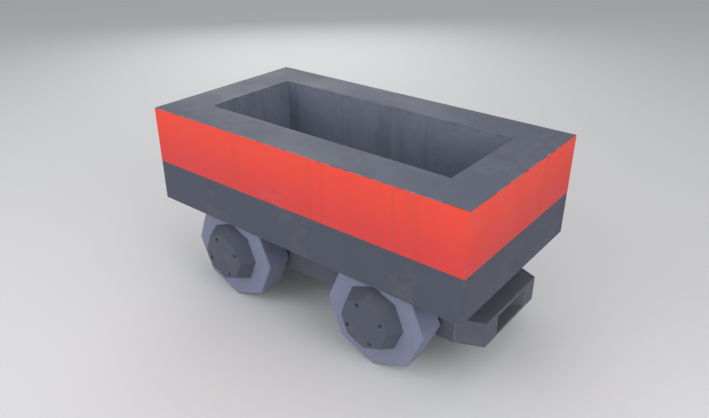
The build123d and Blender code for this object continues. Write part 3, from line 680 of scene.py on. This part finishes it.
# %% Hopper plates
for name in ("side_liner_left", "side_liner_right", "end_liner_front", "end_liner_rear", "hopper_floor"):
    bm = plate(*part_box(name), radius=0.001)
    make_piece("plate_" + name, bm, FINISHES["hopper_steel"], "cart", [name])
print("hopper opening", round(2 * open_x, 3), "by", round(2 * open_y, 3), "m")

# %% Weld beads
BEAD_PITCH = 0.005
FLOOR_BEAD = 0.0045
POST_BEAD = 0.004


def weld_bead(start, end, radius):
    """A rippled bead between two points."""
    start, end = Vector(start), Vector(end)
    run = end - start
    rings = max(4, int(run.length / BEAD_PITCH))
    bm = bmesh.new()
    bmesh.ops.create_cone(bm, cap_ends=True, segments=8, radius1=radius, radius2=radius, depth=run.length)
    lengthwise = [edge for edge in bm.edges if abs(edge.verts[0].co.z - edge.verts[1].co.z) > radius]
    bmesh.ops.subdivide_edges(bm, edges=lengthwise, cuts=rings, use_grid_fill=True)
    for vert in bm.verts:
        ripple = 1 + 0.12 * sin(2 * pi * vert.co.z / (2 * BEAD_PITCH))
        ripple += 0.10 * noise.noise(Vector((start.x * 9, start.y * 9, vert.co.z * 60)))
        vert.co.x *= ripple
        vert.co.y *= ripple
    turn = run.to_track_quat("Z", "Y").to_matrix().to_4x4()
    return in_place(bm, Matrix.Translation((start + end) / 2) @ turn)


floor_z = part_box("hopper_floor")[1].z
beads = bmesh.new()
for x in (-open_x, open_x):
    join(beads, weld_bead((x, -open_y, floor_z), (x, open_y, floor_z), FLOOR_BEAD))
    for y in (-open_y, open_y):
        join(beads, weld_bead((x, y, floor_z), (x, y, rim_low.z), POST_BEAD))
for y in (-open_y, open_y):
    join(beads, weld_bead((-open_x, y, floor_z), (open_x, y, floor_z), FLOOR_BEAD))
hopper_beads = make_piece("hopper_weld_beads", beads, FINISHES["hopper_steel"], "cart")
print("hopper weld beads", len(hopper_beads.data.polygons), "faces")

# %% [markdown]
# ## Turned and many-sided shapes
#
# Wheels, caps, bolts, pins and seals are all shapes that run round an axis. Spinning a profile makes them
# in one step. The wheels here are eight-sided and the bolt heads six-sided, which a spin can't make
# directly, so each profile point may name a number of sides, and its ring is then pulled in between the
# corners. Round bores and flat sides so share one clean mesh, without any cutting.

# %% A lathe that can also make flats
def lathe(profile, steps=64, closed=False):
    """Spins (radius, height, sides) points round Z. Sides of 0 keep a ring round."""
    bm = bmesh.new()
    line = [bm.verts.new((radius, 0, height)) for radius, height, sides in profile]
    ends = line[1:] + line[:1] if closed else line[1:]
    edges = [bm.edges.new(pair) for pair in zip(line, ends)]
    bmesh.ops.spin(
        bm, geom=line + edges, cent=(0, 0, 0), axis=(0, 0, 1), dvec=(0, 0, 0),
        angle=2 * pi, steps=steps, use_merge=True,
    )
    flats = {(round(radius, 5), round(height, 5)): sides for radius, height, sides in profile}
    for vert in bm.verts:
        sides = flats.get((round(hypot(vert.co.x, vert.co.y), 5), round(vert.co.z, 5)), 0)
        if sides:
            half = pi / sides
            turn = atan2(vert.co.y, vert.co.x) % (2 * half) - half
            vert.co.x *= cos(half) / cos(turn)
            vert.co.y *= cos(half) / cos(turn)
    bmesh.ops.remove_doubles(bm, verts=bm.verts, dist=1e-6)
    bmesh.ops.recalc_face_normals(bm, faces=bm.faces)
    return bm


def copies(bm, places):
    """The same shape at several places, in one bmesh."""
    mesh = bpy.data.meshes.new("shape")
    bm.to_mesh(mesh)
    bm.free()
    result = bmesh.new()
    for place in places:
        mesh.transform(place)
        result.from_mesh(mesh)
        mesh.transform(place.inverted())
    bpy.data.meshes.remove(mesh)
    return result


def carve(bm, *tools):
    """Cuts shapes out of another with an exact boolean, and returns what is left."""
    objects = []
    for shape in (bm, *tools):
        mesh = bpy.data.meshes.new("carved")
        shape.to_mesh(mesh)
        shape.free()
        objects.append(bpy.data.objects.new("carved", mesh))
        bpy.context.scene.collection.objects.link(objects[-1])
    for tool in objects[1:]:
        cut = objects[0].modifiers.new("cut", "BOOLEAN")
        cut.operation = "DIFFERENCE"
        cut.solver = "EXACT"
        cut.object = tool
    evaluated = objects[0].evaluated_get(bpy.context.evaluated_depsgraph_get())
    result = bmesh.new()
    result.from_mesh(evaluated.to_mesh())
    for item in objects:
        bpy.data.meshes.remove(item.data)
    return result


print("lathe, copies and carve ready")

# %% [markdown]
# ## The wheels
#
# Each wheel is one thick casting with eight flats and eight blunt corners. Its outer face is flat, and its
# back is cored out round a boss to save weight. The edges of a casting are rounder than those of cut plate,
# and its skin is coarser, so it gets a larger edge radius and the relief of a sand mould.

# %% Wheel sizes, read from the measured wheels and their axles
wheel_low, wheel_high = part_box("wheel_front_left")
cap_low, cap_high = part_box("hub_cap_front_left")
WHEEL_RADIUS = (wheel_high.z - wheel_low.z) / 2
WHEEL_WIDTH = wheel_high.y - wheel_low.y
WHEEL_BACK = wheel_low.y
AXLE_HEIGHT = (wheel_high.z + wheel_low.z) / 2
AXLE_X = (wheel_high.x + wheel_low.x) / 2
WHEEL_SIDES = 8
WHEEL_EDGE = 0.005
CAST_EDGE = 0.0022
RIM_DEPTH = 0.046
CORE_DEPTH = 0.092
BOSS = 0.100  # radius
SEAT = 0.0475  # radius of a bearing's seat
GREASE_BORE = 0.040  # radius
INNER_SEAT = 0.038
OUTER_SEAT = WHEEL_WIDTH - INNER_SEAT
CORNERS = [(end, side) for end in ("front", "rear") for side in ("left", "right")]


def at_wheel(end, side):
    """Local Z runs outwards from the wheel's back face."""
    x = AXLE_X if end == "front" else -AXLE_X
    way = 1 if side == "left" else -1
    return Matrix.Translation((x, way * WHEEL_BACK, AXLE_HEIGHT)) @ Matrix.Rotation(-way * pi / 2, 4, "X")


print("wheel radius, width and axle height", [round(v, 4) for v in (WHEEL_RADIUS, WHEEL_WIDTH, AXLE_HEIGHT)])

# %% Wheel casting
def wheel_casting():
    outer = WHEEL_RADIUS - WHEEL_EDGE
    core = WHEEL_RADIUS - RIM_DEPTH
    profile = [
        (GREASE_BORE, INNER_SEAT, 0), (SEAT, INNER_SEAT, 0), (SEAT, 0, 0), (BOSS, 0, 0),
        (BOSS, CORE_DEPTH, 0), (core, CORE_DEPTH, WHEEL_SIDES), (core, 0, WHEEL_SIDES),
        (outer, 0, WHEEL_SIDES), (WHEEL_RADIUS, WHEEL_EDGE, WHEEL_SIDES),
        (WHEEL_RADIUS, WHEEL_WIDTH - WHEEL_EDGE, WHEEL_SIDES), (outer, WHEEL_WIDTH, WHEEL_SIDES),
        (SEAT, WHEEL_WIDTH, 0), (SEAT, OUTER_SEAT, 0), (GREASE_BORE, OUTER_SEAT, 0),
    ]
    bm = lathe(profile, closed=True)
    round_edges(bm, CAST_EDGE)
    return bm


for end, side in CORNERS:
    corner = f"{end}_{side}"
    bm = in_place(wheel_casting(), at_wheel(end, side))
    piece = make_piece(
        "cast_wheel_" + corner, bm, FINISHES["wheel_steel"], corner + "_wheel", ["wheel_" + corner],
    )
print("each wheel has", len(piece.data.polygons), "faces")

# %% [markdown]
# ## The hub caps
#
# A cap is a blunt eight-sided pyramid of cast iron that keeps dirt out of the bearing. Four socket screws
# sink into its face. The counterbores are cut with a boolean, because a round hole in a flat face is
# quicker to cut than to plan.

# %% Hub caps
CAP_FACE_RADIUS = 0.115
CAP_BASE_RADIUS = (cap_high.z - cap_low.z) / 2
CAP_BASE = cap_low.y - WHEEL_BACK
CAP_FACE = cap_high.y - WHEEL_BACK
CAVITY = 0.065
CAVITY_DEPTH = 0.0425
SCREW_CIRCLE = 0.088
SCREW_HEAD = 0.012
SCREW_HEAD_DEPTH = 0.016
SCREW_RECESS = 0.0015
SCREW_GAP = 0.0005  # round a screw's head
BORE_EDGE = 0.002
SCREW_PLACES = [
    Matrix.Rotation(pi / WHEEL_SIDES + turn * pi / 2, 4, "Z") @ Matrix.Translation((SCREW_CIRCLE, 0, 0))
    for turn in range(4)
]


def hub_cap():
    edge = 0.0025
    inner = CAP_BASE + CAVITY_DEPTH
    profile = [
        (0, inner, 0), (CAVITY, inner, 0), (CAVITY, CAP_BASE, 0), (CAP_BASE_RADIUS, CAP_BASE, WHEEL_SIDES),
        (CAP_FACE_RADIUS + edge, CAP_FACE - 2 * edge, WHEEL_SIDES),
        (CAP_FACE_RADIUS - edge, CAP_FACE, WHEEL_SIDES), (0, CAP_FACE, 0),
    ]
    bm = lathe(profile, steps=64)
    bmesh.ops.dissolve_limit(bm, angle_limit=radians(0.5), verts=bm.verts, edges=bm.edges)
    round_edges(bm, 0.0015, sharper_than=radians(20))
    seat = CAP_FACE - SCREW_RECESS - SCREW_HEAD_DEPTH
    top = CAP_FACE + 0.0012  # past the face, so that the cut is clean
    radius = SCREW_HEAD + SCREW_GAP
    bore = [
        (0, seat, 0), (radius, seat, 0), (radius, top - BORE_EDGE, 0), (radius + BORE_EDGE, top, 0),
        (0, top, 0),
    ]
    return carve(bm, copies(lathe(bore, steps=32), SCREW_PLACES))


cap_shape = hub_cap()
for end, side in CORNERS:
    corner = f"{end}_{side}"
    bm = in_place(cap_shape.copy(), at_wheel(end, side))
    piece = make_piece(
        "cast_hub_cap_" + corner, bm, FINISHES["hub_paint"], corner + "_wheel", ["hub_cap_" + corner],
    )
print("each cap has", len(piece.data.polygons), "faces")

# %% Socket screws
SOCKET = 0.014  # across flats
SOCKET_DEPTH = 0.008
SOCKET_EDGE = 0.001
SHANK = 0.008  # radius
SHANK_GRIP = 0.020  # in the wheel
SHANK_TIP = 0.002


def socket_screw():
    top = CAP_FACE - SCREW_RECESS
    low = top - SCREW_HEAD_DEPTH
    edge = 0.0011
    profile = [
        (0, low, 0), (SCREW_HEAD, low, 0), (SCREW_HEAD, top - edge, 0), (SCREW_HEAD - edge, top, 0),
        (0, top, 0),
    ]
    bm = lathe(profile, steps=48)
    corner = SOCKET / 2 / cos(pi / 6)
    bottom = top - SOCKET_DEPTH
    socket = [
        (0, bottom, 0), (corner, bottom + SOCKET_EDGE, 6), (corner, top - 0.0004, 6),
        (corner + 0.0012, top + SOCKET_EDGE, 0), (0, top + SOCKET_EDGE, 0),
    ]
    bm = carve(bm, lathe(socket, steps=36))
    end = WHEEL_WIDTH - SHANK_GRIP
    return join(bm, lathe([(0, end, 0), (SHANK, end + SHANK_TIP, 0), (SHANK, low, 0), (0, low, 0)], 16))


screw_shape = copies(socket_screw(), SCREW_PLACES)
for end, side in CORNERS:
    corner = f"{end}_{side}"
    name = "hub_cap_screws_" + corner
    bm = in_place(screw_shape.copy(), at_wheel(end, side))
    piece = make_piece("socket_screws_" + corner, bm, SCREW_PAINT, corner + "_wheel", [name])
print("each set of screws has", len(piece.data.polygons), "faces")

# %% [markdown]
# ## Frame, bearers and drawheads
#
# These are rolled channels, square tubes, fabricated bearers and two big castings. Their measured shapes
# are already right in every hole and flange, but their edges are knife-sharp. So each one is a copy of its
# measured mesh: the loose triangles are merged, flat areas are dissolved back to single faces, and the true
# edges are rounded by what the real material would have.

# %% A copy of a measured node with its edges rounded
def softened(node, radius):
    bm = bmesh.new()
    bm.from_mesh(nodes[node].data)
    bmesh.ops.remove_doubles(bm, verts=bm.verts, dist=1e-5)
    bmesh.ops.dissolve_limit(bm, angle_limit=radians(0.6), verts=bm.verts, edges=bm.edges)
    round_edges(bm, radius)
    return bm


ROUNDED = {
    "frame_sill_left": 0.0022, "frame_sill_right": 0.0022, "cross_member_front": 0.0028,
    "cross_member_middle": 0.0028, "cross_member_rear": 0.0028, "headstock_plates": 0.0015,
    "body_bolster_front_end": 0.0018, "body_bolster_front_inner": 0.0018, "body_bolster_rear_inner": 0.0018,
    "body_bolster_rear_end": 0.0018, "corner_posts": 0.0014, "wall_ribs": 0.0012, "axle_seats": 0.0028,
    "drawhead_front": 0.0014, "drawhead_rear": 0.0014, "axle_front": 0.0008, "axle_rear": 0.0008,
}
for name, radius in ROUNDED.items():
    slot = slot_of[name]
    piece = make_piece("rounded_" + name, softened(name, radius), FINISHES[slot], "cart", [name])
    print(name, len(piece.data.polygons), "faces")

# %% [markdown]
# ## Bolts, nuts and pins
#
# A hexagon head is never a plain six-sided block: its top is turned to a cone, which leaves the curved cuts
# on its flats. On the lathe that is a round ring above a six-sided one. The exposed end of a bolt has a
# thread, made here as ridges, because a true helix would not be told apart at this size.

# %% Hexagon bolts with threads
def hex_profile(flats, low, high):
    """Rings of a hexagon head or nut, chamfered at both faces, from the lower pole to the upper one."""
    corner = flats / 2 / cos(pi / 6)
    round_part = flats / 2 * 0.96
    drop = (corner - round_part) * tan(radians(28))
    return [
        (0, low, 0), (round_part, low, 0), (corner, low + drop, 6),
        (corner, high - drop, 6), (round_part, high, 0), (0, high, 0),
    ]


PITCH = 0.0016


def threaded_rod(radius, low, high, threaded_to):
    profile = [(0, low, 0), (radius * 0.86, low + 0.0006, 0)]
    for ridge in range(int((threaded_to - low) / PITCH)):
        height = low + 0.0008 + ridge * PITCH
        profile += [(radius, height + PITCH * 0.35, 0), (radius * 0.88, height + PITCH * 0.9, 0)]
    profile += [(radius, threaded_to + 0.001, 0), (radius, high, 0), (0, high, 0)]
    return lathe(profile, 20)


def mount_bolt():
    """One bolt and nut of those that hold the tub's bearers to the frame, through rubber pads."""
    low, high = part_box("mount_bolts")
    head_height, nut_height, end_height, flats, radius, spare = 0.008, 0.010, 0.005, 0.018, 0.006, 0.004
    nut_low = low.z + end_height
    nut_high = nut_low + nut_height
    bm = lathe(hex_profile(flats, high.z - head_height, high.z), 36)
    join(bm, lathe(hex_profile(flats, nut_low, nut_high), 36))
    join(bm, threaded_rod(radius, low.z, high.z - head_height, nut_high + spare))
    return bm


pad_low, pad_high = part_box("mount_pads")
BEARERS_X = [
    sum(corner.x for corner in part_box("body_bolster_" + name)) / 2
    for name in ("front_end", "front_inner", "rear_inner", "rear_end")
]
BOLT_STEP = 0.018
PAD_WIDTH = 0.050
PAD_Y = pad_high.y - PAD_WIDTH / 2
bolt_places = [
    Matrix.Translation((x + step, way * PAD_Y, 0))
    for x in BEARERS_X for step in (-BOLT_STEP, BOLT_STEP) for way in (-1, 1)
]
all_bolts = copies(mount_bolt(), bolt_places)
bolts = make_piece("body_mount_bolts", all_bolts, BOLT_BLACK, "cart", ["mount_bolts"])
print(len(bolt_places), "mount bolts,", len(bolts.data.polygons), "faces")

# %% Drawhead bolts and axle lock bolts
head_low, head_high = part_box("drawhead_bolts")
plate_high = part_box("headstock_plates")[1]
lock_low, lock_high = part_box("axle_lock_bolts")
DRAW_FLATS, DRAW_HEAD, DRAW_STEP, DRAW_RADIUS, DRAW_GRIP = 0.030, 0.012, 0.070, 0.010, 0.044
LOCK_FLATS, LOCK_HEAD, LOCK_RADIUS, LOCK_PLAIN = 0.024, 0.010, 0.008, 0.010
HEADSTOCK = 0.012  # plate
TONGUE = 0.080  # half the width of a drawhead's tongue
SUNK = 0.002  # a shank starts inside its head


def drawhead_bolt(way):
    """One bolt along X, its head towards the middle of the cart."""
    inner = plate_high.x - HEADSTOCK
    start, end = inner - SUNK, inner + DRAW_GRIP
    bm = lathe(hex_profile(DRAW_FLATS, inner - DRAW_HEAD, inner), 36)
    join(bm, lathe([(0, start, 0), (DRAW_RADIUS, start, 0), (DRAW_RADIUS, end, 0), (0, end, 0)], 20))
    turned = Matrix.Rotation(pi / 2, 4, "Y")
    return in_place(bm, Matrix.Scale(way, 4, (1, 0, 0)) @ turned)


draw_z = (head_low.z + head_high.z) / 2
draw_y = (plate_high.y + TONGUE) / 2
bm = bmesh.new()
for way in (-1, 1):
    spots = [
        Matrix.Translation((0, side * (draw_y + step), draw_z))
        for side in (-1, 1) for step in (-DRAW_STEP / 2, DRAW_STEP / 2)
    ]
    join(bm, copies(drawhead_bolt(way), spots))
make_piece("drawhead_hex_bolts", bm, BOLT_BLACK, "cart", ["drawhead_bolts"])

lock_seat = lock_high.z - LOCK_HEAD
bm = lathe(hex_profile(LOCK_FLATS, lock_seat, lock_high.z), 36)
join(bm, threaded_rod(LOCK_RADIUS, lock_low.z, lock_seat, lock_seat - LOCK_PLAIN))
lock_y = lock_high.y - LOCK_FLATS / 2
spots = [Matrix.Translation((x, way * lock_y, 0)) for x in (-AXLE_X, AXLE_X) for way in (-1, 1)]
make_piece("axle_lock_hex_bolts", copies(bm, spots), BOLT_BLACK, "cart", ["axle_lock_bolts"])
print("drawhead and lock bolts made")

# %% Coupling pins with their lifting loops
PIN_RADIUS, PIN_TIP = 0.018, 0.008
PIN_HEAD, PIN_HEAD_HEIGHT, PIN_EDGE = 0.028, 0.012, 0.002
LOOP_RADIUS, LOOP_ROD = 0.018, 0.006
TAPER_STEP = (0.001, 0.003)  # where the tip's cone runs out into the shank


def coupling_pin(end):
    name = "coupling_pin_" + end
    low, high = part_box(name)
    x = (low.x + high.x) / 2
    loop_z = high.z - LOOP_RADIUS - LOOP_ROD
    top = loop_z - LOOP_RADIUS
    under = top - PIN_HEAD_HEIGHT
    cone = low.z + PIN_TIP
    profile = [
        (0, low.z, 0), (PIN_RADIUS - PIN_TIP, low.z, 0), (PIN_RADIUS - TAPER_STEP[0], cone, 0),
        (PIN_RADIUS, cone + TAPER_STEP[1], 0), (PIN_RADIUS, under, 0), (PIN_HEAD - PIN_EDGE, under, 0),
        (PIN_HEAD, under + PIN_EDGE, 0), (PIN_HEAD, top - PIN_EDGE, 0), (PIN_HEAD - PIN_EDGE, top, 0),
        (0, top, 0),
    ]
    bm = lathe(profile, 48)
    ring = bmesh.new()
    bmesh.ops.create_circle(ring, segments=16, radius=LOOP_ROD)
    bmesh.ops.rotate(ring, cent=(0, 0, 0), matrix=Matrix.Rotation(pi / 2, 3, "X"), verts=ring.verts)
    bmesh.ops.translate(ring, vec=(LOOP_RADIUS, 0, 0), verts=ring.verts)
    bmesh.ops.spin(
        ring, geom=ring.verts[:] + ring.edges[:], cent=(0, 0, 0), axis=(0, 0, 1), dvec=(0, 0, 0),
        angle=2 * pi, steps=40, use_merge=True,
    )
    in_place(ring, Matrix.Translation((0, 0, loop_z)) @ Matrix.Rotation(pi / 2, 4, "Y"))
    join(bm, ring)
    in_place(bm, Matrix.Translation((x, 0, 0)))
    return make_piece("drop_pin_" + end, bm, FINISHES["bare_steel"], end + "_pin", [name])


for end in ("front", "rear"):
    print(end, "pin has", len(coupling_pin(end).data.polygons), "faces")

# %% [markdown]
# ## Rubber
#
# The tub rests on eight rubber blocks. A loaded block bulges between its two faces, so each is a rounded
# box cut into rows, whose middle rows stand further out than its ends. The dust seals are soft rings behind
# the wheels with a raised lip against the axle.

# %% Pads and seals
PAD_SIZE = Vector((0.056, PAD_WIDTH, pad_high.z - pad_low.z))
PAD_PULL = 0.0022
PAD_CORNER = 0.005


def upright_edges(bm, height):
    return [edge for edge in bm.edges if abs(edge.verts[0].co.z - edge.verts[1].co.z) > height]


def rubber_pad():
    bm = plate(-PAD_SIZE / 2, PAD_SIZE / 2)
    bmesh.ops.bevel(
        bm, geom=upright_edges(bm, PAD_SIZE.z / 2), offset=PAD_CORNER, offset_type="OFFSET", segments=4,
        profile=0.5, affect="EDGES", material=-1,
    )
    bmesh.ops.subdivide_edges(bm, edges=upright_edges(bm, PAD_SIZE.z / 2), cuts=7, use_grid_fill=True)
    for vert in bm.verts:
        pull = PAD_PULL * (2 * vert.co.z / PAD_SIZE.z) ** 2
        vert.co.x *= 1 - pull / (PAD_SIZE.x / 2)
        vert.co.y *= 1 - pull / (PAD_SIZE.y / 2)
    return bm


pad_z = (pad_low.z + pad_high.z) / 2
spots = [Matrix.Translation((x, way * PAD_Y, pad_z)) for x in BEARERS_X for way in (-1, 1)]
make_piece("bulged_pads", copies(rubber_pad(), spots), FINISHES["rubber"], "cart", ["mount_pads"])

SEAL_OUT, SEAL_IN, SEAL_LOW, SEAL_HIGH, LIP = 0.046, 0.030, 0.003, 0.012, 0.002
seal_profile = [
    (SEAL_IN, SEAL_LOW + LIP / 2, 0), (SEAL_IN + LIP, SEAL_LOW, 0), (SEAL_IN + 2.5 * LIP, SEAL_LOW + LIP, 0),
    (SEAL_OUT - 2 * LIP, SEAL_LOW + LIP, 0), (SEAL_OUT - LIP, SEAL_LOW, 0),
    (SEAL_OUT, SEAL_LOW + LIP / 2, 0), (SEAL_OUT, SEAL_HIGH, 0), (SEAL_IN, SEAL_HIGH, 0),
]
seal = lathe(seal_profile, 48, closed=True)
make_piece(
    "lipped_seals", copies(seal, [at_wheel(*corner) for corner in CORNERS]), FINISHES["rubber"], "cart",
    ["dust_seals"],
)
print("pads and seals made")

# %% [markdown]
# ## Welds under the tub
#
# The bearers are welded to the side sills and the cross members to the frame sills. These beads are small,
# but without them the steelwork looks like loose plates that happen to touch.

# %% Beads at the bearers and cross members
MEMBER_BEAD = 0.004
BEARER_BEAD = 0.0035
WEB_HALF = 0.006
BEAD_SINK = 0.001  # its middle lies a little inside the plate it is welded to
BEAD_START, BEAD_STOP = 0.028, 0.010  # above the sill's foot, and below the bearer's top
frame_beads = bmesh.new()
web_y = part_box("cross_member_middle")[1].y
for name in ("front", "middle", "rear"):
    low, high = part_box("cross_member_" + name)
    for way in (-1, 1):
        y = way * (web_y - BEAD_SINK)
        for z in (low.z, high.z):
            join(frame_beads, weld_bead((low.x, y, z), (high.x, y, z), MEMBER_BEAD))
        for x in (low.x, high.x):
            join(frame_beads, weld_bead((x, y, low.z), (x, y, high.z), MEMBER_BEAD))
for name in ("front_end", "front_inner", "rear_inner", "rear_end"):
    low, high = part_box("body_bolster_" + name)
    x = (low.x + high.x) / 2
    for way in (-1, 1):
        y = way * (high.y - BEAD_SINK / 2)
        for side in (-WEB_HALF, WEB_HALF):
            start = (x + side, y, sill_low.z + BEAD_START)
            join(frame_beads, weld_bead(start, (x + side, y, high.z - BEAD_STOP), BEARER_BEAD))
beads_under = make_piece("underframe_weld_beads", frame_beads, WELD, "cart")
print("underframe beads", len(beads_under.data.polygons), "faces")
